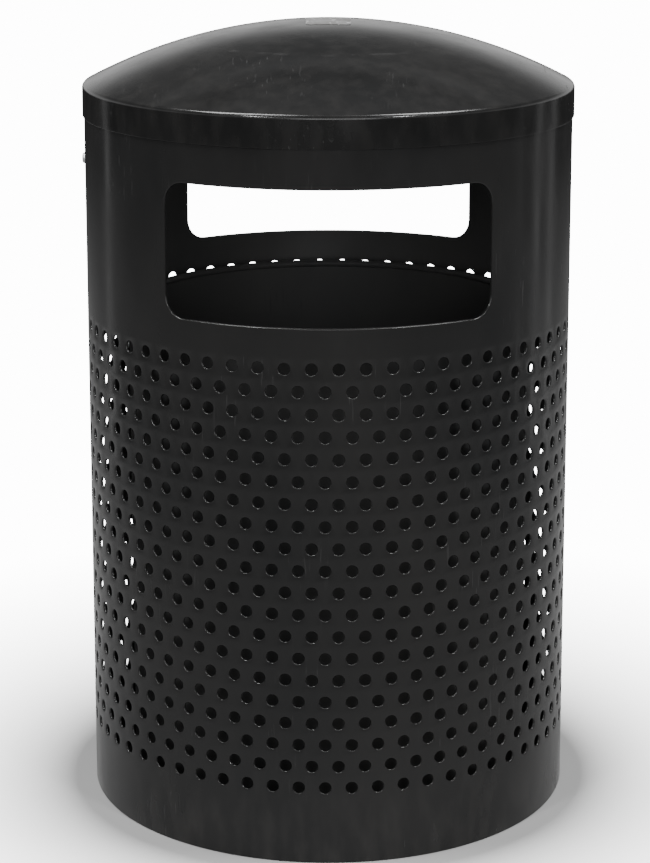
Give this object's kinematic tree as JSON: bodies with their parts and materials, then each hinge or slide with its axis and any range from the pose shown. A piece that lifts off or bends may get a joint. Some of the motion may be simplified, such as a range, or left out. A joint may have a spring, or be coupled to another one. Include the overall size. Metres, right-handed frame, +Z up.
{
  "type": "litter bin",
  "caption": "Round free-standing litter bin: perforated sheet-steel casing with a front and a rear opening, a domed lift-off lid and a loose liner with drop handles.",
  "frame": {"origin": "on the ground, at the centre of the casing's foot", "axes": "+Z up along the casing's axis, -Y towards the front opening"},
  "size_m": [0.4648, 0.463, 0.7434],
  "materials": {
    "black_powder_coat": "gloss powder coat",
    "liner_paint": "satin paint",
    "base_paint": "satin powder coat",
    "bright_zinc": "bright zinc plate",
    "bright_wire": "drawn steel wire",
    "blank_label": "satin film"
  },
  "bodies": {
    "casing": {"casing_front": "black_powder_coat", "casing_rear": "black_powder_coat", "base_plate": "base_paint", "liner_locators": "base_paint", "lid_screw": "bright_zinc", "lid_screw_spacer": "bright_zinc", "lid_screw_washer": "bright_zinc", "lid_screw_nut": "bright_zinc"},
    "lid": {"lid_dome": "black_powder_coat", "lid_seat_ring": "base_paint", "lid_leg_left": "base_paint", "lid_leg_right": "base_paint", "dome_label": "blank_label"},
    "liner": {"liner_wall": "liner_paint", "liner_floor": "liner_paint", "liner_rim": "liner_paint", "liner_rim_wire": "bright_wire", "handle_clip_left": "bright_zinc", "handle_clip_right": "bright_zinc", "handle_rivets_left": "bright_zinc", "handle_rivets_right": "bright_zinc"},
    "left_handle": {"liner_handle_left": "bright_wire"},
    "right_handle": {"liner_handle_right": "bright_wire"}
  },
  "joints": [
    {"name": "lid_lift", "type": "slide", "parent": "casing", "child": "lid", "axis": [0, 0, 1], "range_m": [0, 0.25]},
    {"name": "liner_lift", "type": "slide", "parent": "casing", "child": "liner", "axis": [0, 0, 1], "range_m": [0, 0.19]},
    {"name": "left_handle_swing", "type": "hinge", "parent": "liner", "child": "left_handle", "pos_m": [-0.18, 0, 0.45], "axis": [0, -1, 0], "range_deg": [0, 180]},
    {"name": "right_handle_swing", "type": "hinge", "parent": "liner", "child": "right_handle", "pos_m": [0.18, 0, 0.45], "axis": [0, 1, 0], "range_deg": [0, 180]}
  ]
}
